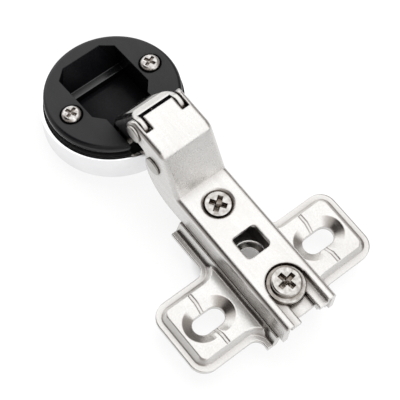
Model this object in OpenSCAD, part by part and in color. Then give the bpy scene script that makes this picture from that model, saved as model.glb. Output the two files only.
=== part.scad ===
// Concealed four-link hinge for a glass door, on its mounting plate, drawn fully open.
// Origin: midway between the two plate slots, on the mounting plane.
// +X runs along the arm towards the cup, +Z points out of the plate. Millimetres.

/* [Mounting plate] */
// Thickness of the pressed plate sheet
plate_sheet = 1.2; // [1:0.05:1.4]
// Width across both wings
wing_span = 51; // [48:0.5:60]
// Length of a wing along the arm
wing_length = 19; // [17:0.5:24]
// Radius of the wing corners
wing_corner_r = 4; // [3:0.5:5]
// Width of the middle strip
strip_width = 19.2; // [18:0.2:22]
// Front end of the middle strip
strip_front = 21.5; // [20.5:0.5:23]
// Rear end of the middle strip
strip_rear = 13; // [12.5:0.5:14]
// Radius of the hollow corners between wing and strip
inner_corner_r = 2.2; // [1:0.2:3]
// Width of the flat rim around the raised pad
rim_width = 1.3; // [0.8:0.1:1.6]
// Height of the pad above the mounting plane
pad_height = 3; // [2.6:0.1:3.4]
// Height of the ridge that the arm rides over
ridge_height = 4.6; // [4.2:0.1:5]
// Distance between the two screw slots
slot_spacing = 32; // [30:0.5:34]
// Width of a screw slot
slot_width = 4.6; // [4.2:0.1:5]
// Length of a screw slot
slot_length = 8.1; // [7:0.1:9]
// Depth of the pressed dish around a slot
slot_dish_depth = 1.6; // [1.2:0.1:1.7]
// Radius of the round hole under the arm window
centre_hole_r = 2.35; // [2:0.05:2.6]
// Height of the front tab that takes the adjusting screw
tab_height = 7; // [6.6:0.1:7.4]

/* [Arm] */
// Thickness of the arm sheet
arm_sheet = 1.2; // [1:0.05:1.3]
// Outside width of the arm channel
arm_width = 14.2; // [13.8:0.1:15]
// Outside radius of the channel bends
arm_bend_r = 1.3; // [1:0.1:1.8]
// Height of the rear top face
arm_top = 12.2; // [11.8:0.1:12.8]
// Rear end of the arm
arm_rear = 14.6; // [14:0.2:16]
// Place where the crank starts to rise
crank_start = 23.4; // [22.5:0.1:24]
// Place where the crank ends
crank_end = 29.7; // [29:0.1:30.5]
// Radius of the bend at the top of the crank
crank_bend_r = 3; // [2:0.2:4]
// Height of the front top face
front_top = 23.8; // [23.2:0.1:24.4]
// Front edge of the top tongue
tongue_front = 40; // [39:0.1:40.4]
// Radius of the ears around the front pin
ear_r = 2.8; // [2.6:0.1:3]
// Square window side
window_size = 6.3; // [5.6:0.1:7]
// Centre of the window
window_x = 6; // [5.5:0.1:6.5]
// Depth of the pressed dish for the fixing screw
clamp_dish_depth = 1.7; // [1.5:0.1:1.9]
// Width of the slot at the rear of the arm
clamp_slot_width = 5.2; // [5:0.1:5.6]

/* [Screws] */
// Place of the fixing screw along the arm, behind the origin
fixing_x = 6; // [5.6:0.1:6.4]
// Radius of the fixing screw head
fixing_head_r = 3.5; // [3.2:0.1:3.8]
// Radius of the collar under the fixing screw head
fixing_collar_r = 4.5; // [4.2:0.1:4.7]
// Radius of the fixing screw thread
fixing_thread_r = 2.4; // [2.2:0.05:2.45]
// Place of the adjusting screw along the arm
adjust_x = 17.6; // [17:0.1:18]
// Radius of the adjusting screw thread
adjust_thread_r = 3; // [2.8:0.05:3.1]
// Distance of each cup screw from the hinge's middle plane
cup_screw_y = 11.4; // [11.2:0.1:11.6]
// Distance of the cup screws from the cup centre, away from the arm
cup_screw_u = 0.4; // [0:0.1:1]
// Radius of a cup screw head
cup_screw_head_r = 2.4; // [2.2:0.05:2.5]
// Radius of a cup screw thread
cup_screw_r = 1.45; // [1.2:0.05:1.6]

/* [Links and pins] */
// Place of the front arm pin
front_pin_x = 39; // [38.8:0.1:39.2]
// Radius of the front arm pin
front_pin_r = 1.25; // [1.1:0.05:1.4]
// Place of the rear arm pin
rear_pin_x = 32; // [31.8:0.1:32.2]
// Height of the rear arm pin
rear_pin_z = 16.2; // [16:0.1:16.4]
// Radius of the rear arm pin
rear_pin_r = 1.2; // [1:0.05:1.3]
// Radius of the two pins in the cup
cup_pin_r = 1; // [0.9:0.05:1.1]
// Outer link pin inside the edge of the cup boss
outer_pin_inset = 5.45; // [5.35:0.05:5.55]
// Outer link pin below the cup face
outer_pin_n = 2.8; // [2.7:0.05:2.9]
// Inner link pin inside the edge of the cup boss
inner_pin_inset = 2.45; // [2.35:0.05:2.55]
// Inner link pin below the cup face
inner_pin_n = 3; // [2.9:0.05:3.1]
// Sheet thickness of both links
link_sheet = 1.2; // [1:0.05:1.3]
// Side gap between the arm and the outer link, on each side
link_side_gap = 0.3; // [0.25:0.05:0.4]
// Side gap between the two links, on each side
link_inner_gap = 0.8; // [0.6:0.1:1]
// Radial play of the inner link's eye round the rear arm pin
eye_play = 1.1; // [1.05:0.05:1.25]
// Wire radius of the closing spring
spring_wire_r = 0.4; // [0.3:0.05:0.45]

/* [Cup] */
// Near edge of the cup boss along the arm
cup_near_x = 41.87; // [41.7:0.01:42]
// Height of the cup centre at its face
cup_z = 7.43; // [7.3:0.01:7.6]
// Tilt of the open cup
open_tilt = 8.4; // [8:0.1:8.8]
// Width of the flange outside the boss
flange_lip = 1.45; // [1.2:0.05:1.8]
// Thickness of the cup flange
flange_t = 1.8; // [1.6:0.1:2]
// Radius of the round over the flange edge
flange_round = 1.2; // [0.6:0.1:1.4]
// Radius of the boss that passes the glass
boss_r = 14.85; // [14.6:0.05:15.2]
// Thickness of the cup floor
floor_t = 0.9; // [0.7:0.05:1]
// Depth of the pocket floor below the cup face
pocket_depth = 8.3; // [8:0.1:8.6]
// Wall between the pocket's far edge and the boss
pocket_wall = 2.35; // [2:0.05:2.6]
// Side gap between the cup and what folds into it
fold_gap = 0.35; // [0.3:0.05:0.5]

/* [Cover cap] */
// Gap between the boss and the cap's gasket
cap_gap = 0.4; // [0.3:0.05:0.6]
// Width of the cap's gasket
cap_gasket_w = 1.25; // [1:0.05:1.5]
// Wall thickness of the cap
cap_wall = 1.1; // [0.9:0.05:1.3]
// Depth of the cap rim below the cup face
cap_rim_depth = 3.3; // [3.2:0.05:3.7]
// Space between the boss and the cap's floor
cap_space = 0.87; // [0.5:0.01:1.2]
// Thickness of the gasket under the flange
gasket_t = 0.8; // [0.6:0.05:1]

/* [Hidden] */
$fn = 64;
EPS = 0.01;
CUT = 40;

// Gaps: a seated face, a running pin, a pressed pin
seat_gap = 0.3;
run_gap = 0.05;
press_gap = 0.02;

// Plate
wall_lean = 1.2;
wall_inset = rim_width + wall_lean;
sheet_side = plate_sheet * 0.85;
slot_end = (slot_length - slot_width) / 2;
dish_flare = slot_dish_depth * 1.45;
groove_w = 0.8;
groove_depth = 0.18;
bridge_top = arm_top - clamp_dish_depth - arm_sheet - seat_gap;
bridge_front = 0.8;
bridge_sheet = plate_sheet + 0.2;
block_half = arm_width / 2 - arm_sheet - 0.5;
tab_rear = adjust_x - 4;

// Arm
arm_half = arm_width / 2;
arm_inner_half = arm_half - arm_sheet;
wall_low = ridge_height + 0.4;
crank_angle = atan2(front_top - arm_top, crank_end - crank_start);
bend_centre = [crank_end, front_top]
              + crank_bend_r / cos(crank_angle / 2) * [sin(crank_angle / 2), -cos(crank_angle / 2)];
arm_front = front_pin_x + ear_r + 1;
function bend_point(a) = bend_centre + crank_bend_r * [-sin(a), cos(a)];
sweep_r = 9.6;
sweep_z = wall_low + sweep_r;
sweep_x = 25.3;
neck_x = sweep_x + sweep_r;
front_pin_z = front_top - ear_r;
neck_fillet = 1.6;
notch_rear = front_pin_x - ear_r;
clamp_dish_half = fixing_collar_r + 0.7;
clamp_dish_front = fixing_collar_r + 0.5;
clamp_slot_front = fixing_thread_r + 0.6;
collar_drop = 3.4;
screw_dish_r = adjust_thread_r + 0.9;
screw_dish_depth = 0.8;

// Screws
fixing_collar_z = arm_top - clamp_dish_depth + run_gap;
fixing_collar_t = 1;
fixing_head_t = 1.7;
head_round = 0.6;
recess_w = 1.25;
recess_depth = 2;
neck_r = adjust_thread_r / 2;
foot_r = adjust_thread_r - 0.4;
foot_t = 1.1;
foot_top = tab_height - plate_sheet - seat_gap;

// Linkage
cup_x = cup_near_x + boss_r;
outer_pin_u = boss_r - outer_pin_inset;
inner_pin_u = boss_r - inner_pin_inset;
function cup_point(u, n) = [cup_x + u * cos(open_tilt) + n * sin(open_tilt),
                            cup_z - u * sin(open_tilt) + n * cos(open_tilt)];
function turn_of(a, b) = atan2(a[1] - b[1], b[0] - a[0]);
front_pin = [front_pin_x, front_pin_z];
rear_pin = [rear_pin_x, rear_pin_z];
outer_pin = cup_point(-outer_pin_u, -outer_pin_n);
inner_pin = cup_point(-inner_pin_u, -inner_pin_n);
// The eye starts at one end of its play, so that the play is shared over the travel
arm_eye = rear_pin + [-0.131, 0.862];
outer_len = norm(outer_pin - front_pin);
inner_len = norm(inner_pin - arm_eye);
outer_half = arm_inner_half - link_side_gap;
inner_half = outer_half - link_sheet - link_inner_gap;
tongue_half = outer_half - link_sheet - 0.4;
outer_eye_r = ear_r - 0.2;
cup_eye_r = cup_pin_r + 0.75;
inner_eye_r = cup_pin_r + 0.7;
play_bore_r = rear_pin_r + eye_play;
play_eye_r = play_bore_r + 1;
outer_web = 4;
outer_web_start = 1.9;
outer_web_end = outer_len - 3.4;
inner_rise = 1.45;
inner_web_start = play_eye_r + 1;
inner_web_end = inner_len - 3;
inner_bend_r = 0.9;
link_bend_r = 1.9;
rivet_head_r = 2.2;
rivet_head_t = 0.65;
rivet_dome = 0.35;
rear_head_t = 0.55;
coil_r = rear_pin_r + spring_wire_r + 0.12;
coil_turns = 5;
spring_reach = inner_web_start + 3.4;
coil_pitch = spring_wire_r * 1.75;

// Cup
flange_r = boss_r + flange_lip;
boss_bottom = pocket_depth + floor_t;
pocket_far = boss_r - pocket_wall;
pocket_half = arm_half + rivet_head_t + fold_gap;
throat_half = outer_half + fold_gap;
ledge_n = 6.6;
ledge_u = pocket_far - 2.9;
ledge_w = 2;
pocket_corner = 2.5;
pocket_far_half = 5.2;
throat_start = 5.9;
shoulder = 3.3;
counterbore_r = cup_screw_head_r + 0.35;
counterbore_depth = 1.2;
cup_head_t = 2.1;
cup_head_dome = 1;
outer_pin_end = throat_half + 2.6;
inner_pin_end = throat_half + 0.45;
outer_pin_start = outer_half - link_sheet - 0.1;

// Cap and gaskets
cap_r = boss_r + cap_gap + cap_gasket_w + cap_wall;
cap_bottom = boss_bottom + cap_space + cap_wall;
cap_round = 1.4;
cap_boss_r = 3;
screw_tip = cap_bottom - 0.5;
gasket_w = 1.05;
cap_gasket_t = 1.4;

// Shared helpers

// Draws its child and the child's mirror image across the middle plane.
module both_sides() {
    children();
    mirror([0, 1, 0]) children();
}

// Stands a flat outline drawn in (x, z) upright between two y values.
module upright(y0, y1) {
    translate([0, y1, 0]) rotate([90, 0, 0]) linear_extrude(y1 - y0) children();
}

// Moves its child into the cup's own frame: x away from the arm, z out of the face.
module in_cup() {
    translate([cup_x, 0, cup_z]) rotate([0, open_tilt, 0]) children();
}

// Moves its child to the frame of a link from point a to point b.
module along(a, b) {
    translate([a[0], 0, a[1]]) rotate([0, turn_of(a, b), 0]) children();
}

// Round bar across the hinge between two y values, at a point in (x, z).
module cross_bar(p, r, y0, y1) {
    translate([p[0], y0, p[1]]) rotate([-90, 0, 0]) cylinder(r = r, h = y1 - y0);
}

// Bar of the spring wire between two points in (x, z) at one y.
module wire(a, b, y) {
    translate([a[0], y, a[1]])
        rotate([0, 90 + turn_of(a, b), 0])
            cylinder(r = spring_wire_r * 0.85, h = norm(b - a));
}

// Flat outline of a block with its upper corners rounded, or sharp where r is zero, top at zero.
module round_top(half, r, depth) {
    translate([-half, -depth]) square([2 * half, depth - r]);
    translate([r - half, -depth]) square([2 * (half - r), depth]);
    if (r > 0) for (s = [-1, 1]) translate([s * (half - r), -r]) circle(r);
}

// Cross-shaped driver recess with a pointed foot, mouth at zero.
module cross_recess(reach, w, depth) {
    for (a = [0, 90]) rotate([0, 0, a])
        translate([-reach, -w / 2, -depth]) cube([2 * reach, w, depth + 1]);
    translate([0, 0, -depth - w * 0.6]) cylinder(r1 = 0.1, r2 = w * 0.8, h = w * 0.6 + EPS);
}

// Head of a screw with a rounded top edge, seat at zero.
module round_head(r, t, edge) {
    rotate_extrude() {
        square([r, t - edge]);
        square([r - edge, t]);
        intersection() {
            translate([r - edge, t - edge]) circle(edge);
            square([r, t]);
        }
    }
}

// Mounting plate

// Rounded rectangle with leaning walls, from half sizes at z0 to smaller ones at z1.
module leaning_pad(hx, hy, r, lean, z0, z1) {
    module prism(half) {
        polygon([[-half, z0], [half, z0], [half - lean, z1], [lean - half, z1]]);
    }
    upright(r - hy, hy - r) prism(hx);
    rotate([0, 0, 90]) upright(r - hx, hx - r) prism(hy);
    for (sx = [-1, 1]) for (sy = [-1, 1])
        translate([sx * (hx - r), sy * (hy - r), z0]) cylinder(r1 = r, r2 = r - lean, h = z1 - z0);
}

// Fills the corner between wing and strip up to z1, with a leaning hollow round.
module corner_fill(inset, lean, z0, z1) {
    cx = wing_length / 2 + inner_corner_r;
    cy = strip_width / 2 + inner_corner_r;
    difference() {
        translate([wing_length / 2 - 4, strip_width / 2 - 4, z0])
            cube([inner_corner_r + 4 - EPS, inner_corner_r + 4 - EPS, z1 - z0]);
        translate([cx, cy, z0 - EPS])
            cylinder(r1 = inner_corner_r + inset,
                     r2 = inner_corner_r + inset + lean,
                     h = z1 - z0 + 2 * EPS);
    }
}

module plate_rim() {
    hx = wing_length / 2;
    hy = wing_span / 2;
    linear_extrude(plate_sheet) {
        square([wing_length, wing_span - 2 * wing_corner_r], center = true);
        square([wing_length - 2 * wing_corner_r, wing_span], center = true);
        for (sx = [-1, 1]) for (sy = [-1, 1])
            translate([sx * (hx - wing_corner_r), sy * (hy - wing_corner_r)]) circle(wing_corner_r);
        translate([-strip_rear, -strip_width / 2]) square([strip_front + strip_rear, strip_width]);
    }
}

// Cross-section of the ridge under the arm, with its skirt.
module ridge_section(inset, top) {
    foot = strip_width / 2 - rim_width - inset;
    crown = arm_half + 0.35 - inset;
    polygon([[-foot, -EPS], [foot, -EPS], [foot, plate_sheet - inset], [crown, top], [-crown, top],
             [-foot, plate_sheet - inset]]);
}

module ridge(inset, top, x0, x1) {
    translate([x0, 0, 0]) rotate([90, 0, 90]) linear_extrude(x1 - x0) ridge_section(inset, top);
}

// Tapered oblong dish around a slot, with its floor at zero.
module slot_dish(r, flare, depth) {
    for (s = [-1, 1]) translate([0, s * slot_end, 0]) cylinder(r1 = r, r2 = r + flare, h = depth);
    upright(-slot_end, slot_end) polygon([[-r, 0], [r, 0], [r + flare, depth], [-r - flare, depth]]);
}

// Narrow scribed groove that runs down the dish to the slot.
module slot_groove() {
    r = slot_width / 2;
    top = pad_height + EPS;
    outer_x = wing_length / 2 - wall_inset;
    low = pad_height - slot_dish_depth;
    for (s = [0, 1]) mirror([s, 0, 0]) upright(-groove_w / 2, groove_w / 2)
        polygon([[outer_x, top], [r + dish_flare, top], [r, low + EPS], [r, low - groove_depth],
                 [r + dish_flare, pad_height - groove_depth], [outer_x, pad_height - groove_depth]]);
}

module plate_hollow() {
    under = pad_height - plate_sheet;
    difference() {
        leaning_pad(wing_length / 2 - rim_width - sheet_side, wing_span / 2 - rim_width - sheet_side,
                    wing_corner_r - rim_width, wall_lean, -EPS, under);
        both_sides() translate([0, slot_spacing / 2, under - slot_dish_depth])
            slot_dish(slot_width / 2 + sheet_side, dish_flare, slot_dish_depth + EPS);
    }
    ridge(plate_sheet, ridge_height - plate_sheet, -CUT, strip_front - plate_sheet);
}

// Raised bridge and tab that the two arm screws work on.
module plate_blocks(inset, x_open) {
    translate([-strip_rear - x_open, inset - block_half, 0])
        cube([strip_rear - bridge_front - inset + x_open, 2 * (block_half - inset),
              bridge_top - (inset > 0 ? bridge_sheet : 0)]);
    translate([tab_rear + inset, inset - block_half, 0])
        cube([strip_front - tab_rear - inset + x_open, 2 * (block_half - inset), tab_height - inset]);
}

module mounting_plate() color("gainsboro") difference() {
    union() {
        plate_rim();
        leaning_pad(wing_length / 2 - rim_width, wing_span / 2 - rim_width, wing_corner_r - rim_width + EPS,
                    wall_lean, plate_sheet - EPS, pad_height);
        for (sx = [0, 1]) mirror([sx, 0, 0]) both_sides() {
            corner_fill(0, 0, 0, plate_sheet);
            corner_fill(rim_width, wall_lean, plate_sheet - EPS, pad_height);
        }
        ridge(0, ridge_height, -strip_rear, strip_front);
        plate_blocks(0, 0);
    }
    plate_hollow();
    plate_blocks(plate_sheet, 1);
    both_sides() translate([0, slot_spacing / 2, 0]) {
        translate([0, 0, pad_height - slot_dish_depth])
            slot_dish(slot_width / 2, dish_flare, slot_dish_depth + EPS);
        for (s = [-1, 1]) translate([0, s * slot_end, -1]) cylinder(r = slot_width / 2, h = CUT);
        translate([-slot_width / 2, -slot_end, -1]) cube([slot_width, 2 * slot_end, CUT]);
        slot_groove();
    }
    // Round hole with a countersink under the window
    translate([window_x - 0.4, 0, ridge_height - plate_sheet - EPS]) {
        translate([0, 0, -1]) cylinder(r = centre_hole_r, h = CUT);
        cylinder(r1 = centre_hole_r, r2 = centre_hole_r + plate_sheet * 1.2, h = plate_sheet + 2 * EPS);
    }
    // Thread of the fixing screw in the bridge
    translate([-fixing_x, 0, -1]) cylinder(r = fixing_thread_r + run_gap, h = CUT);
    // Open slot for the neck of the adjusting screw
    translate([adjust_x, 0, -1]) {
        cylinder(r = neck_r + seat_gap, h = CUT);
        translate([0, -neck_r - seat_gap, 0]) cube([CUT, 2 * (neck_r + seat_gap), CUT]);
    }
    // Room for the foot of the adjusting screw under the tab
    translate([adjust_x, 0, -1]) {
        cylinder(r = foot_r + 0.4, h = foot_top + 1 + 0.2);
        translate([0, -foot_r - 0.4, 0]) cube([CUT, 2 * foot_r + 0.8, foot_top + 1 + 0.2]);
    }
}

// Arm

// One straight run of the arm's channel, solid under its top plane, with an inset for the inside.
module arm_run(half, r, inset, p, a, x0, x1)
    translate([p[0], 0, p[1]]) rotate([0, -a, 0]) translate([x0, 0, -inset])
        rotate([90, 0, 90]) linear_extrude(x1 - x0) round_top(half, r, 60);

module arm_outside() {
    module run(p, a, x0, x1) arm_run(arm_half, arm_bend_r, 0, p, a, x0, x1);
    run([0, arm_top], 0, -arm_rear, crank_end);
    // The bend at the top of the crank is a fan of narrow flats round its radius
    intersection() {
        run([crank_start, arm_top], crank_angle, -CUT, CUT);
        run(bend_point(crank_angle * 0.67), crank_angle * 0.67, -CUT, CUT);
        run(bend_point(crank_angle * 0.33), crank_angle * 0.33, -CUT, CUT);
        run([0, front_top], 0, crank_start - 6, arm_front);
    }
}

module arm_inside() {
    module run(p, a, x0, x1) arm_run(arm_inner_half, 0, arm_sheet, p, a, x0, x1);
    run([0, arm_top], 0, -arm_rear - arm_sheet, crank_end);
    intersection() {
        run([crank_start, arm_top], crank_angle, -CUT, CUT);
        run([0, front_top], 0, crank_start - 6, arm_front);
    }
}

// Side outline of the arm walls in (x, z).
module arm_outline() {
    translate([-arm_rear, wall_low]) square([arm_rear + sweep_x, CUT]);
    intersection() {
        translate([sweep_x, sweep_z]) circle(sweep_r);
        translate([sweep_x, wall_low - 1]) square([sweep_r + 1, sweep_r + 1]);
    }
    translate([sweep_x, sweep_z]) square([sweep_r, CUT]);
    translate([neck_x - EPS, front_pin_z - ear_r]) square([front_pin_x - neck_x + EPS, CUT]);
    translate(front_pin) circle(ear_r);
    // Hollow fillet between the neck and the ear
    difference() {
        translate([neck_x - EPS, front_pin_z - ear_r - neck_fillet]) square(neck_fillet + EPS);
        translate([neck_x + neck_fillet, front_pin_z - ear_r - neck_fillet]) circle(neck_fillet);
    }
    translate([neck_x - EPS, front_pin_z]) square([tongue_front - neck_x + EPS, CUT]);
}

// Oblong form of the fixing screw's dish, open to the rear.
module clamp_dish(extra, z0, z1) {
    r = clamp_dish_half + extra;
    front = clamp_dish_front + extra;
    translate([-fixing_x, 0, z0]) {
        cylinder(r = min(r, front), h = z1 - z0);
        translate([-CUT, -r, 0]) cube([CUT, 2 * r, z1 - z0]);
    }
}

module hinge_arm() color("gainsboro") difference() {
    union() {
        difference() {
            intersection() {
                arm_outside();
                upright(-arm_half, arm_half) arm_outline();
            }
            difference() {
                arm_inside();
                // Sheet pressed down under the fixing screw
                intersection() {
                    clamp_dish(0, arm_top - clamp_dish_depth - arm_sheet, CUT);
                    translate([-arm_rear, -arm_half, 0]) cube([CUT, arm_width, CUT]);
                }
                // Collar drawn down for the adjusting screw's thread
                translate([adjust_x, 0, arm_top - collar_drop])
                    cylinder(r = screw_dish_r + 0.4, h = collar_drop);
            }
            // Link walls pass through the top on both sides of the tongue
            both_sides() translate([notch_rear, tongue_half, wall_low])
                cube([CUT, arm_inner_half - tongue_half, CUT]);
            // Top ends at the tongue's front edge
            translate([tongue_front, -arm_inner_half, wall_low]) cube([CUT, 2 * arm_inner_half, CUT]);
        }
    }
    clamp_dish(-0.35, arm_top - clamp_dish_depth, CUT);
    // Slot for the fixing screw, open at the rear
    translate([-fixing_x + clamp_slot_front - clamp_slot_width / 2, 0, wall_low]) {
        cylinder(r = clamp_slot_width / 2, h = CUT);
        translate([-CUT, -clamp_slot_width / 2, 0]) cube([CUT, clamp_slot_width, CUT]);
    }
    // Square window
    translate([window_x, 0, wall_low]) linear_extrude(CUT) {
        square([window_size, window_size - 2], center = true);
        square([window_size - 2, window_size], center = true);
        for (sx = [-1, 1]) for (sy = [-1, 1])
            translate([sx * (window_size / 2 - 1), sy * (window_size / 2 - 1)]) circle(1);
    }
    // Threaded hole and dished mouth for the adjusting screw
    translate([adjust_x, 0, wall_low]) cylinder(r = adjust_thread_r + run_gap, h = CUT);
    translate([adjust_x, 0, arm_top - screw_dish_depth])
        cylinder(r1 = adjust_thread_r + run_gap, r2 = screw_dish_r, h = screw_dish_depth + EPS);
    cross_bar(front_pin, front_pin_r + press_gap, -CUT, CUT);
    cross_bar(rear_pin, rear_pin_r + press_gap, -CUT, CUT);
}

module front_arm_pin() color("silver") {
    cross_bar(front_pin, front_pin_r, -arm_half, arm_half);
    translate([front_pin[0], arm_half, front_pin[1]]) rotate([-90, 0, 0])
        round_head(rivet_head_r, rivet_head_t, rivet_dome);
}

module rear_arm_pin() color("silver") {
    cross_bar(rear_pin, rear_pin_r, -arm_half, arm_half);
    translate([rear_pin[0], arm_half, rear_pin[1]]) rotate([-90, 0, 0])
        round_head(rivet_head_r, rear_head_t, rear_head_t / 2);
}

// Double-legged coil on the rear pin: one leg under the arm's top, the other on the inner link.
module closing_spring() color("dimgray") {
    coil_end = (coil_turns - 1) / 2 * coil_pitch;
    translate([rear_pin[0], 0, rear_pin[1]]) rotate([90, 0, 0]) rotate_extrude()
        for (i = [0 : coil_turns - 1])
            translate([coil_r, i * coil_pitch - coil_end]) circle(spring_wire_r, $fn = 24);
    leg_foot = rear_pin + [coil_r, 0];
    wire(leg_foot, [leg_foot[0], front_top - arm_sheet - seat_gap], coil_end);
    turn = turn_of(arm_eye, inner_pin);
    ahead = [cos(turn), -sin(turn)];
    above = [sin(turn), cos(turn)];
    on_web = link_sheet - inner_rise + spring_wire_r + seat_gap;
    wire(rear_pin + coil_r * above, arm_eye + spring_reach * ahead + on_web * above, -coil_end);
}

// Screws

module fixing_screw() color("silver") translate([-fixing_x, 0, 0]) difference() {
    top = fixing_collar_z + fixing_collar_t + fixing_head_t;
    union() {
        translate([0, 0, ridge_height])
            cylinder(r = fixing_thread_r, h = fixing_collar_z - ridge_height + EPS);
        translate([0, 0, fixing_collar_z]) round_head(fixing_collar_r, fixing_collar_t, 0.3);
        translate([0, 0, fixing_collar_z + fixing_collar_t - EPS])
            round_head(fixing_head_r, fixing_head_t, head_round);
    }
    translate([0, 0, top]) rotate([0, 0, 10]) cross_recess(fixing_head_r * 0.62, recess_w, recess_depth);
}

module adjusting_screw() color("silver") translate([adjust_x, 0, 0]) difference() {
    top = arm_top - 0.2;
    neck_top = tab_height + seat_gap;
    union() {
        translate([0, 0, neck_top]) cylinder(r = adjust_thread_r, h = top - neck_top);
        translate([0, 0, foot_top - foot_t]) cylinder(r = neck_r, h = neck_top - foot_top + foot_t + EPS);
        translate([0, 0, foot_top - foot_t]) cylinder(r = foot_r, h = foot_t);
    }
    translate([0, 0, top]) rotate([0, 0, 35]) cross_recess(adjust_thread_r * 0.68, recess_w, recess_depth);
}

// Links

module outer_link_outline() difference() {
    union() {
        circle(outer_eye_r);
        translate([outer_len, 0]) circle(cup_eye_r);
        polygon([[0, -outer_eye_r],
                 [outer_len * 0.65, -1.3],
                 [outer_len, -cup_pin_r],
                 [outer_len, cup_eye_r],
                 [outer_web_end, outer_web],
                 [outer_web_start, outer_web],
                 [-0.42 * outer_eye_r, 0.9 * outer_eye_r]]);
    }
    circle(front_pin_r + run_gap);
    translate([outer_len, 0]) circle(cup_pin_r + run_gap);
}

// Folded sheet: two walls with the pin eyes, joined by a web on the side away from the arm.
module outer_link() color("gainsboro") along(front_pin, outer_pin) difference() {
    intersection() {
        upright(-outer_half, outer_half) outer_link_outline();
        translate([-CUT / 2, 0, outer_web])
            rotate([90, 0, 90]) linear_extrude(CUT) round_top(outer_half, link_bend_r, 15);
    }
    translate([-CUT / 2, link_sheet - outer_half, -CUT])
        cube([CUT, 2 * (outer_half - link_sheet), CUT + outer_web - link_sheet]);
}

module inner_link_outline() difference() {
    union() {
        circle(play_eye_r);
        translate([inner_len, 0]) circle(inner_eye_r);
        polygon([[0, -play_eye_r], [inner_web_start, -inner_rise], [inner_len, -inner_rise],
                 [inner_len, inner_rise], [inner_web_start, inner_rise], [0, play_eye_r]]);
    }
    circle(play_bore_r);
    translate([inner_len, 0]) circle(cup_pin_r + run_gap);
}

// Folded sheet: two walls with the pin eyes, joined by a web on the side of the arm.
module inner_link() color("gainsboro") along(arm_eye, inner_pin) difference() {
    web_len = inner_web_end - inner_web_start;
    union() {
        both_sides() upright(inner_half - link_sheet, inner_half) inner_link_outline();
        translate([inner_web_start, -inner_half + EPS, -inner_rise])
            cube([web_len, 2 * (inner_half - EPS), link_sheet]);
    }
    // Outside of the two bends
    both_sides() translate([inner_web_start, inner_half - inner_bend_r, -inner_rise - EPS]) difference() {
        cube([web_len, inner_bend_r + 1, inner_bend_r]);
        translate([-1, 0, inner_bend_r]) rotate([0, 90, 0]) cylinder(r = inner_bend_r, h = web_len + 2);
    }
}

// Two short pins in the cup walls carry the outer link, one full pin carries the inner link.
module outer_link_pins()
    color("silver") both_sides() cross_bar(outer_pin, cup_pin_r, outer_pin_start, outer_pin_end);

module inner_link_pin() color("silver") cross_bar(inner_pin, cup_pin_r, -inner_pin_end, inner_pin_end);

// Cup

module pocket_plan() {
    side = [[pocket_far, pocket_far_half],
            [pocket_far - pocket_corner, pocket_half],
            [-shoulder, pocket_half],
            [-throat_start, throat_half],
            [-CUT, throat_half]];
    both = concat(side, [for (i = [len(side) - 1 : -1 : 0]) [side[i][0], -side[i][1]]]);
    polygon(both);
}

// Side outline of the pocket: leaning far wall with a ledge above the floor.
module pocket_profile() {
    polygon([[-CUT, 1],
             [pocket_far, 1],
             [pocket_far, 0],
             [ledge_u, -ledge_n],
             [ledge_u - ledge_w, -ledge_n],
             [ledge_u - ledge_w - 0.2, -pocket_depth],
             [-CUT, -pocket_depth]]);
}

module flange_profile() {
    translate([0, -flange_t]) square([flange_r, flange_t - flange_round]);
    translate([0, -flange_t]) square([flange_r - flange_round, flange_t]);
    intersection() {
        translate([flange_r - flange_round, -flange_round]) circle(flange_round);
        translate([0, -flange_t]) square([flange_r, flange_t]);
    }
}

module cup_body() color("black") difference() {
    in_cup() difference() {
        union() {
            rotate_extrude() flange_profile();
            translate([0, 0, -boss_bottom]) cylinder(r = boss_r, h = boss_bottom - flange_t + EPS);
        }
        intersection() {
            translate([0, 0, -pocket_depth - 1]) linear_extrude(pocket_depth + 2) pocket_plan();
            upright(-CUT, CUT) pocket_profile();
        }
        for (s = [-1, 1]) translate([cup_screw_u, s * cup_screw_y, 0]) {
            translate([0, 0, -counterbore_depth]) cylinder(r = counterbore_r, h = CUT);
            translate([0, 0, -CUT]) cylinder(r = cup_screw_r + press_gap, h = CUT);
        }
    }
    both_sides() cross_bar(outer_pin, cup_pin_r + press_gap, 0, outer_pin_end + press_gap);
    cross_bar(inner_pin, cup_pin_r + press_gap, -inner_pin_end - press_gap, inner_pin_end + press_gap);
}

module cup_screws() color("silver") in_cup() for (s = [-1, 1])
    translate([cup_screw_u, s * cup_screw_y, -counterbore_depth]) difference() {
        union() {
            round_head(cup_screw_head_r, cup_head_t, cup_head_dome);
            translate([0, 0, counterbore_depth - screw_tip])
                cylinder(r = cup_screw_r, h = screw_tip - counterbore_depth + EPS);
        }
        translate([0, 0, cup_head_t]) rotate([0, 0, 20]) cross_recess(cup_screw_head_r * 0.62, 0.8, 0.8);
    }

module flange_gasket() color("black") in_cup() difference() {
    translate([0, 0, -flange_t - gasket_t]) cylinder(r = boss_r + press_gap + gasket_w, h = gasket_t);
    translate([0, 0, -CUT]) cylinder(r = boss_r + press_gap, h = 2 * CUT);
    translate([-CUT, -throat_half, -CUT]) cube([CUT, 2 * throat_half, 2 * CUT]);
}

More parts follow.
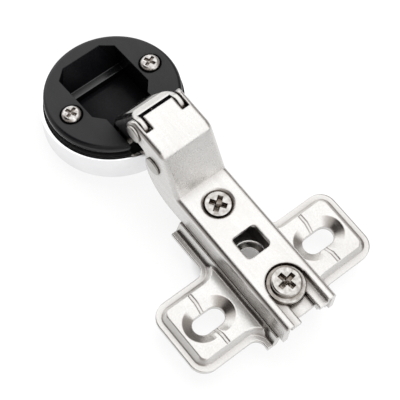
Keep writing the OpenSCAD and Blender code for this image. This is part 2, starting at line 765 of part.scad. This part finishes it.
// Chromed cap that clamps the glass against the flange.
module cover_cap() color("lightgray") in_cup() difference() {
    union() {
        difference() {
            translate([0, 0, -cap_bottom]) union() {
                translate([0, 0, cap_round])
                    cylinder(r = cap_r, h = cap_bottom - cap_round - cap_rim_depth);
                cylinder(r = cap_r - cap_round, h = cap_round + EPS);
                translate([0, 0, cap_round]) rotate_extrude() intersection() {
                    translate([cap_r - cap_round, 0]) circle(cap_round);
                    translate([cap_r - cap_round - 1, -cap_round]) square([cap_round + 1, cap_round + EPS]);
                }
            }
            translate([0, 0, cap_wall - cap_bottom]) cylinder(r = cap_r - cap_wall, h = CUT);
        }
        for (s = [-1, 1]) translate([cup_screw_u, s * cup_screw_y, -cap_bottom + EPS])
            cylinder(r = cap_boss_r, h = cap_bottom - boss_bottom - EPS);
    }
    for (s = [-1, 1]) translate([cup_screw_u, s * cup_screw_y, -screw_tip - 0.1])
        cylinder(r = cup_screw_r + press_gap, h = CUT);
}

// Soft ring inside the cap's rim that meets the glass, open where the inner link passes.
module cap_gasket() color("black") in_cup() translate([0, 0, -cap_rim_depth - cap_gasket_t]) difference() {
    cylinder(r = cap_r - cap_wall - press_gap, h = cap_gasket_t);
    translate([0, 0, -1]) cylinder(r = cap_r - cap_wall - cap_gasket_w, h = CUT);
    translate([-CUT, -throat_half, -1]) cube([CUT, 2 * throat_half, CUT]);
}

mounting_plate();
fixing_screw();
hinge_arm();
adjusting_screw();
front_arm_pin();
rear_arm_pin();
closing_spring();
outer_link();
inner_link();
outer_link_pins();
inner_link_pin();
cup_body();
cup_screws();
flange_gasket();
cover_cap();
cap_gasket();
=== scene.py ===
import math
import bpy
from mathutils import Euler, Matrix, Vector


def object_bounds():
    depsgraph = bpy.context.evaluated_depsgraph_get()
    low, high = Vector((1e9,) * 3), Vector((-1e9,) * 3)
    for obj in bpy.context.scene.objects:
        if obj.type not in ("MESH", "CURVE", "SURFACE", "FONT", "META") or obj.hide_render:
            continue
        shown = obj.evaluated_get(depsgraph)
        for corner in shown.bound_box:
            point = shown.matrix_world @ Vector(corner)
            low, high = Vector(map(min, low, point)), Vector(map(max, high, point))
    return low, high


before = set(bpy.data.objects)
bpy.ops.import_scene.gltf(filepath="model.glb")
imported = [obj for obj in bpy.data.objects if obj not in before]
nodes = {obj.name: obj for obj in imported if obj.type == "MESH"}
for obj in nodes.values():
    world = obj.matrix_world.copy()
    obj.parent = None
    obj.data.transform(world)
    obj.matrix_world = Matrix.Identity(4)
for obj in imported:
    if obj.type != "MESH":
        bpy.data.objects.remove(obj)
cad_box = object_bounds()
scene = bpy.context.scene
scene.view_settings.view_transform = "Standard"

MM_PER_M = 1000
WHITE = (1, 1, 1)
EVEN = (1, 1, 1)
# Middle part of a noise texture's range, which holds nearly all of its values
NOISE_LOW, NOISE_HIGH = 0.3, 0.7
# Rays per shading point for rounded edges and for hollows
SHADING_RAYS = 8
# Openness at which the painted shade of a hollow is full, and from which on a surface counts as open
HOLLOW_FULL, HOLLOW_NONE = 0.35, 0.97


# Shader helpers

def shader_of(name):
    """A new node material, with its tree and its main shader."""
    material = bpy.data.materials.new(name)
    material.use_nodes = True
    tree = material.node_tree
    return material, tree, tree.nodes["Principled BSDF"]


def add(tree, kind, **values):
    """A new node with some of its settings."""
    node = tree.nodes.new(kind)
    for key, value in values.items():
        setattr(node, key, value)
    return node


def combine(tree, operation, first, second):
    """One number from two, by a mathematical operation."""
    node = add(tree, "ShaderNodeMath", operation=operation)
    tree.links.new(first, node.inputs[0])
    tree.links.new(second, node.inputs[1])
    return node.outputs["Value"]


def measure(tree, operation, vector, other):
    """A number from a vector and a constant one, such as a dot product or a distance."""
    node = add(tree, "ShaderNodeVectorMath", operation=operation)
    node.inputs[1].default_value = other
    tree.links.new(vector, node.inputs[0])
    return node.outputs["Value"]


def place(tree, scale):
    """Object coordinates in millimetres, stretched by scale."""
    coord = add(tree, "ShaderNodeTexCoord")
    mapping = add(tree, "ShaderNodeMapping")
    mapping.inputs["Scale"].default_value = [MM_PER_M * s for s in scale]
    tree.links.new(coord.outputs["Object"], mapping.inputs["Vector"])
    return mapping.outputs["Vector"]


def noise(tree, vector, scale, detail=3.0, rough=0.55):
    """A noise value, with scale as its number of waves in a millimetre."""
    node = add(tree, "ShaderNodeTexNoise")
    node.inputs["Scale"].default_value = scale
    node.inputs["Detail"].default_value = detail
    node.inputs["Roughness"].default_value = rough
    tree.links.new(vector, node.inputs["Vector"])
    return node.outputs["Fac"]


def spread(tree, value, low, high, start=NOISE_LOW, end=NOISE_HIGH):
    """Maps a value between start and end to a number between low and high."""
    node = add(tree, "ShaderNodeMapRange")
    for key, number in (("From Min", start), ("From Max", end), ("To Min", low), ("To Max", high)):
        node.inputs[key].default_value = number
    tree.links.new(value, node.inputs["Value"])
    return node.outputs["Result"]


def tint(tree, value, dark, light, start=NOISE_LOW, end=NOISE_HIGH):
    """Maps a value between start and end to a colour between two."""
    node = add(tree, "ShaderNodeValToRGB")
    low, high = node.color_ramp.elements
    low.position, high.position = start, end
    low.color, high.color = (*dark, 1), (*light, 1)
    tree.links.new(value, node.inputs["Fac"])
    return node.outputs["Color"]


def times(tree, colour, other):
    """The product of two colours."""
    mix = add(tree, "ShaderNodeMix", data_type="RGBA", blend_type="MULTIPLY")
    mix.inputs["Factor"].default_value = 1.0
    tree.links.new(colour, mix.inputs["A"])
    tree.links.new(other, mix.inputs["B"])
    return mix.outputs["Result"]


def soft_edges(tree, radius):
    """A normal that rounds edges over a radius in millimetres."""
    node = add(tree, "ShaderNodeBevel", samples=SHADING_RAYS)
    node.inputs["Radius"].default_value = radius / MM_PER_M
    return node.outputs["Normal"]


def bump(tree, shader, heights, last=None):
    """Chains height fields into the shader's normal, each as (value, strength, millimetres)."""
    for value, strength, depth in heights:
        node = add(tree, "ShaderNodeBump")
        node.inputs["Strength"].default_value = strength
        node.inputs["Distance"].default_value = depth / MM_PER_M
        tree.links.new(value, node.inputs["Height"])
        if last:
            tree.links.new(last, node.inputs["Normal"])
        last = node.outputs["Normal"]
    tree.links.new(last, shader.inputs["Normal"])


def openness(tree, depth):
    """How open the surface lies within a depth in millimetres, from zero in a narrow hollow to one."""
    node = add(tree, "ShaderNodeAmbientOcclusion", samples=SHADING_RAYS)
    node.inputs["Distance"].default_value = depth / MM_PER_M
    return node.outputs["AO"]


def hollow(tree, colour, depth, hollow_shade_colour):
    """Darkens a colour in hollows by how open they are: painted shade, where light reaches less."""
    return times(tree, colour, tint(tree, openness(tree, depth), hollow_shade_colour, WHITE, HOLLOW_FULL, HOLLOW_NONE))


# Materials

GRIT_DARK = (0.91, 0.903, 0.895)


def nickel(name, dark, light, rough, streak, depth=2.5, hollow_shade_colour=(0.30, 0.265, 0.24), edge=0.45, spots=0.09):
    """Bright plating or steel: soft cloudy tone, rolling streaks, fine grit, a little orange peel, and
    painted shade in its hollows.
    """
    material, tree, shader = shader_of(name)
    shader.inputs["Metallic"].default_value = 1.0
    plain = place(tree, EVEN)
    cloud = noise(tree, plain, spots, 4.0)
    line = noise(tree, place(tree, streak), 1.0, 5.0, 0.65)
    peel = noise(tree, plain, 1.6, 2.0)
    grit = noise(tree, plain, 3.5, 3.0)
    # Painted shade: the tone darkens in hollows towards a given colour
    tone = hollow(tree, tint(tree, cloud, dark, light), depth, hollow_shade_colour)
    tone = times(tree, tone, tint(tree, grit, GRIT_DARK, WHITE))
    tree.links.new(tone, shader.inputs["Base Color"])
    tree.links.new(spread(tree, line, *rough), shader.inputs["Roughness"])
    bump(tree, shader, [(peel, 0.10, 0.05), (line, 0.08, 0.02), (grit, 0.06, 0.01)], soft_edges(tree, edge))
    return material


def chrome(name):
    """Mirror plating with a hardly visible polish haze."""
    material, tree, shader = shader_of(name)
    shader.inputs["Metallic"].default_value = 1.0
    plain = place(tree, EVEN)
    haze = noise(tree, plain, 0.25, 4.0)
    tree.links.new(tint(tree, haze, (0.90, 0.90, 0.915), (0.95, 0.95, 0.96)), shader.inputs["Base Color"])
    tree.links.new(spread(tree, haze, 0.04, 0.09), shader.inputs["Roughness"])
    bump(tree, shader, [(noise(tree, plain, 0.5, 1.0), 0.03, 0.04)])
    return material


# Axis of the cup, and the height on it in millimetres of the ledge in the pocket
CUP_AXIS = (0.14608, 0, 0.98927)
LEDGE_HEIGHT = 9.04
LEDGE_TOLERANCE = 0.3


def on_ledge(tree, plain):
    """One on the ledge in the cup's pocket, which shines more than the rest, and zero elsewhere."""
    level = add(tree, "ShaderNodeMath", operation="COMPARE")
    level.inputs[1].default_value = LEDGE_HEIGHT
    level.inputs[2].default_value = LEDGE_TOLERANCE
    tree.links.new(measure(tree, "DOT_PRODUCT", plain, CUP_AXIS), level.inputs[0])
    normal = add(tree, "ShaderNodeTexCoord").outputs["Normal"]
    facing = measure(tree, "DOT_PRODUCT", normal, CUP_AXIS)
    return combine(tree, "MULTIPLY", level.outputs["Value"], spread(tree, facing, 0.0, 1.0, 0.7, 0.95))


def plastic(name):
    """Satin black moulded plastic with a fine spark-eroded grain and slight flow marks, with painted shade in
    its hollows, in colour and in gloss.
    """
    material, tree, shader = shader_of(name)
    plain = place(tree, EVEN)
    flow = noise(tree, place(tree, (0.25, 1, 1)), 0.35, 4.0)
    grain = noise(tree, plain, 5.0, 2.0)
    tone = tint(tree, flow, (0.004, 0.004, 0.005), (0.007, 0.007, 0.008))
    # Painted shade: the colour darkens in the pocket and other hollows
    tree.links.new(hollow(tree, tone, 10, (0.2, 0.215, 0.24)), shader.inputs["Base Color"])
    tree.links.new(spread(tree, grain, 0.15, 0.24), shader.inputs["Roughness"])
    # Painted shade on reflections: the specular level drops in hollows
    gloss = spread(tree, openness(tree, 20), 0.02, 0.5, 0.5, HOLLOW_NONE)
    tree.links.new(combine(tree, "ADD", gloss, on_ledge(tree, plain)), shader.inputs["Specular IOR Level"])
    shader.inputs["IOR"].default_value = 1.45
    bump(tree, shader, [(flow, 0.06, 0.08), (grain, 0.08, 0.02)], soft_edges(tree, 0.3))
    return material


def rubber(name):
    """Dull soft black ring."""
    material, tree, shader = shader_of(name)
    grain = noise(tree, place(tree, EVEN), 3.0, 3.0)
    tone = tint(tree, grain, (0.008, 0.008, 0.008), (0.016, 0.016, 0.017))
    tree.links.new(tone, shader.inputs["Base Color"])
    tree.links.new(spread(tree, grain, 0.6, 0.8), shader.inputs["Roughness"])
    bump(tree, shader, [(grain, 0.25, 0.03)])
    return material


plate_metal = nickel("plate_nickel", dark=(0.74, 0.727, 0.71), light=(0.82, 0.812, 0.80),
                     rough=(0.17, 0.27), streak=(0.12, 0.9, 0.9))
arm_metal = nickel("arm_nickel", dark=(0.79, 0.778, 0.762), light=(0.85, 0.842, 0.83),
                   rough=(0.21, 0.37), streak=(0.06, 1.1, 1.1), edge=0.75)
link_metal = nickel("link_nickel", dark=(0.72, 0.707, 0.69), light=(0.80, 0.792, 0.78),
                    rough=(0.14, 0.24), streak=(0.5, 0.15, 0.5))
screw_metal = nickel("screw_nickel", dark=(0.40, 0.37, 0.34), light=(0.80, 0.79, 0.775),
                     rough=(0.12, 0.24), streak=(0.6, 0.6, 1.5),
                     depth=1.6, hollow_shade_colour=(0.30, 0.25, 0.21), edge=0.15, spots=0.9)
cup_screw_metal = nickel("cup_screw_nickel", dark=(0.38, 0.35, 0.33), light=(0.86, 0.85, 0.84),
                         rough=(0.16, 0.30), streak=(0.6, 0.6, 1.5),
                         depth=1.6, hollow_shade_colour=(0.55, 0.50, 0.46), edge=0.15, spots=1.3)
pin_metal = nickel("pin_steel", dark=(0.50, 0.485, 0.465), light=(0.62, 0.605, 0.585),
                   rough=(0.18, 0.28), streak=(0.8, 0.2, 0.8),
                   depth=1.5, hollow_shade_colour=(0.14, 0.12, 0.11), edge=0.2)
spring_metal = nickel("spring_steel", dark=(0.26, 0.25, 0.245), light=(0.36, 0.35, 0.34),
                      rough=(0.25, 0.38), streak=(0.8, 1.5, 0.8), edge=0.1)
cup_black = plastic("cup_plastic")
ring_black = rubber("soft_ring")
cap_metal = chrome("cap_chrome")


# Looks and broken edges of the CAD nodes

LOOKS = {
    "mounting_plate": plate_metal, "hinge_arm": arm_metal, "outer_link": link_metal, "inner_link": link_metal,
    "fixing_screw": screw_metal, "adjusting_screw": screw_metal, "cup_screws": cup_screw_metal,
    "front_arm_pin": pin_metal, "rear_arm_pin": pin_metal, "outer_link_pins": pin_metal,
    "inner_link_pin": pin_metal, "closing_spring": spring_metal, "cup_body": cup_black,
    "flange_gasket": ring_black, "cap_gasket": ring_black, "cover_cap": cap_metal,
}
# Width of the broken edge on each node, in millimetres
EDGES = {
    "mounting_plate": 0.22, "hinge_arm": 0.22, "outer_link": 0.2, "inner_link": 0.2, "fixing_screw": 0.1,
    "adjusting_screw": 0.12, "cup_screws": 0.08, "front_arm_pin": 0.1, "rear_arm_pin": 0.1,
    "outer_link_pins": 0.1, "inner_link_pin": 0.1, "cup_body": 0.2, "cover_cap": 0.15,
    "flange_gasket": 0.1, "cap_gasket": 0.1,
}
# Nodes of folded or pressed sheet, whose flat sides become one face each before their edges are broken
SHEET = ("mounting_plate", "hinge_arm", "outer_link", "inner_link")
# Nodes with wide flat sides, which shade flat up to their edges
FLAT_SIDED = (*SHEET, "cup_body")
JOIN_DISTANCE = 1e-6
FLAT_ANGLE = math.radians(0.1)
EDGE_ANGLE = math.radians(38)
CREASE_ANGLE = math.radians(32)
FLAT_WEIGHT = 60


def dress(name, part):
    """Gives a node its material, broken edges and smooth shading between them."""
    part.data.materials.clear()
    part.data.materials.append(LOOKS[name])
    for face in part.data.polygons:
        face.use_smooth = True
    join = part.modifiers.new("join", "WELD")
    join.merge_threshold = JOIN_DISTANCE
    if name in SHEET:
        merge = part.modifiers.new("merge", "DECIMATE")
        merge.decimate_type = "DISSOLVE"
        merge.angle_limit = FLAT_ANGLE
    if name in EDGES:
        edge = part.modifiers.new("edge", "BEVEL")
        edge.width = EDGES[name] / MM_PER_M
        edge.segments = 2
        edge.limit_method = "ANGLE"
        edge.angle_limit = EDGE_ANGLE
        edge.use_clamp_overlap = True
        edge.loop_slide = False
        edge.face_strength_mode = "FSTR_AFFECTED"
    crease = part.modifiers.new("crease", "EDGE_SPLIT")
    crease.split_angle = CREASE_ANGLE
    if name in FLAT_SIDED:
        even = part.modifiers.new("even", "WEIGHTED_NORMAL")
        even.weight = FLAT_WEIGHT
        even.use_face_influence = True
        even.keep_sharp = True


for node_name, node_part in nodes.items():
    dress(node_name, node_part)


# Camera at the photo's place

EYE = Vector((-0.07204, 0.09377, 0.29333))
TURN_DEGREES = (24.653, -2.814, -128.373)
SENSOR_MM = 36
LENS_MM = 126

camera_data = bpy.data.cameras.new("camera")
camera_data.sensor_width = SENSOR_MM
camera_data.lens = LENS_MM
camera_data.clip_start = 0.01
camera_data.clip_end = 20
camera = bpy.data.objects.new("camera", camera_data)
scene.collection.objects.link(camera)
turn = Euler([math.radians(angle) for angle in TURN_DEGREES])
camera.matrix_world = Matrix.LocRotScale(EYE, turn, None)
scene.camera = camera


# Floor, white where it is seen, apart from a share of the object's shadow

FLOOR_GAP = 0.0005
FLOOR_REACH = 3.0
FLOOR_GREY = (0.9, 0.9, 0.9, 1)
FLOOR_ROUGHNESS = 0.9
FLOOR_WHITE_SHARE = 0.86
# Spot below the arm's window that stays in shade, and the distances in metres over which the shade ends
WINDOW_SPOT = (0.0105, 0)
WINDOW_SHADE = (0.006, 0.010)
# Brightness of the floor in reflections, near the object and away from it, and where the change is
MIRRORED_NEAR, MIRRORED_FAR = 0.85, 0.30
MIRRORED_FADE = (0.07, 0.14)


def floor_look(floor_z):
    """White for camera, mirror and glass rays, and a plain pale floor for the light itself."""
    material, tree, shader = shader_of("floor")
    shader.inputs["Base Color"].default_value = FLOOR_GREY
    shader.inputs["Roughness"].default_value = FLOOR_ROUGHNESS
    path = add(tree, "ShaderNodeLightPath").outputs
    seen = combine(tree, "MAXIMUM", path["Is Camera Ray"], path["Is Glossy Ray"])
    seen = combine(tree, "MAXIMUM", seen, path["Is Transmission Ray"])
    spot = add(tree, "ShaderNodeTexCoord").outputs["Object"]
    to_window = measure(tree, "DISTANCE", spot, (*WINDOW_SPOT, floor_z))
    share = combine(tree, "MULTIPLY", seen, spread(tree, to_window, 0.0, FLOOR_WHITE_SHARE, *WINDOW_SHADE))
    to_origin = measure(tree, "DISTANCE", spot, (0, 0, 0))
    mirrored = spread(tree, to_origin, MIRRORED_NEAR, MIRRORED_FAR, *MIRRORED_FADE)
    white = add(tree, "ShaderNodeEmission")
    white.inputs["Color"].default_value = (*WHITE, 1)
    tree.links.new(combine(tree, "MAXIMUM", mirrored, path["Is Camera Ray"]), white.inputs["Strength"])
    mix = add(tree, "ShaderNodeMixShader")
    tree.links.new(share, mix.inputs["Fac"])
    tree.links.new(shader.outputs[0], mix.inputs[1])
    tree.links.new(white.outputs[0], mix.inputs[2])
    tree.links.new(mix.outputs[0], tree.nodes["Material Output"].inputs["Surface"])
    return material


floor_height = cad_box[0][2] - FLOOR_GAP
floor_mesh = bpy.data.meshes.new("floor")
corners = [(x * FLOOR_REACH, y * FLOOR_REACH, floor_height) for x, y in ((-1, -1), (1, -1), (1, 1), (-1, 1))]
floor_mesh.from_pydata(corners, [], [(0, 1, 2, 3)])
floor_mesh.materials.append(floor_look(floor_height))
floor = bpy.data.objects.new("floor", floor_mesh)
scene.collection.objects.link(floor)


# World: a long tent over the arm, bright along X and overhead, and dark towards both sides

# Brightness by direction, each as (place between -Y and +Y, level)
TENT = [(0.0, 0.20), (0.08, 0.20), (0.17, 0.70), (0.23, 1.0),
        (0.58, 1.0), (0.69, 0.65), (0.82, 0.35), (1.0, 0.28)]
# Loss of blue where the tent is dark, and the share of it that green loses
TENT_WARMTH = 0.2
GREEN_LOSS = 0.6
TENT_STRENGTH = 1.32
# A dark flag stands high on one side, so that bends and dishes show a dark edge
FLAG_TOWARDS = Vector((0.30, 0.62, 0.72)).normalized()
FLAG_DARK = (0.05, 0.045, 0.04)
FLAG_EDGE = (0.87, 0.95)


def tent_colour(tree, direction):
    """The tent's colour in a direction, with the flag in front of it."""
    axes = add(tree, "ShaderNodeSeparateXYZ")
    tree.links.new(direction, axes.inputs["Vector"])
    sky = add(tree, "ShaderNodeValToRGB")
    ramp = sky.color_ramp
    while len(ramp.elements) < len(TENT):
        ramp.elements.new(0.5)
    for element, (where, level) in zip(ramp.elements, TENT):
        warm = TENT_WARMTH * (1 - level)
        element.position = where
        element.color = (level, level * (1 - GREEN_LOSS * warm), level * (1 - warm), 1)
    tree.links.new(spread(tree, axes.outputs["Y"], 0.0, 1.0, -1.0, 1.0), sky.inputs["Fac"])
    flag = tint(tree, measure(tree, "DOT_PRODUCT", direction, FLAG_TOWARDS), WHITE, FLAG_DARK, *FLAG_EDGE)
    return times(tree, sky.outputs["Color"], flag)


world = bpy.data.worlds.new("studio")
scene.world = world
world.use_nodes = True
world_tree = world.node_tree
world_tree.nodes.clear()
outward = add(world_tree, "ShaderNodeTexCoord").outputs["Generated"]
tent = add(world_tree, "ShaderNodeBackground")
tent.inputs["Strength"].default_value = TENT_STRENGTH
world_tree.links.new(tent_colour(world_tree, outward), tent.inputs["Color"])
backdrop = add(world_tree, "ShaderNodeBackground")
backdrop.inputs["Color"].default_value = (*WHITE, 1)
choose = add(world_tree, "ShaderNodeMixShader")
camera_ray = add(world_tree, "ShaderNodeLightPath").outputs["Is Camera Ray"]
world_tree.links.new(camera_ray, choose.inputs["Fac"])
world_tree.links.new(tent.outputs[0], choose.inputs[1])
world_tree.links.new(backdrop.outputs[0], choose.inputs[2])
world_out = add(world_tree, "ShaderNodeOutputWorld")
world_tree.links.new(choose.outputs[0], world_out.inputs["Surface"])


# Lamps, which light the object but don't show in the metal

LIT_POINT = Vector((0.02, 0, 0.005))


def lamp(name, where, side, power):
    """A square soft lamp that looks at the object."""
    data = bpy.data.lights.new(name, "AREA")
    data.shape = "RECTANGLE"
    data.size = data.size_y = side
    data.energy = power
    item = bpy.data.objects.new(name, data)
    scene.collection.objects.link(item)
    item.location = where
    item.rotation_euler = (LIT_POINT - Vector(where)).to_track_quat("-Z", "Y").to_euler()
    item.visible_glossy = False


lamp("softbox", (0.10, -0.16, 0.55), 0.50, 3.2)
lamp("side_fill", (-0.35, 0.35, 0.25), 0.30, 0.5)
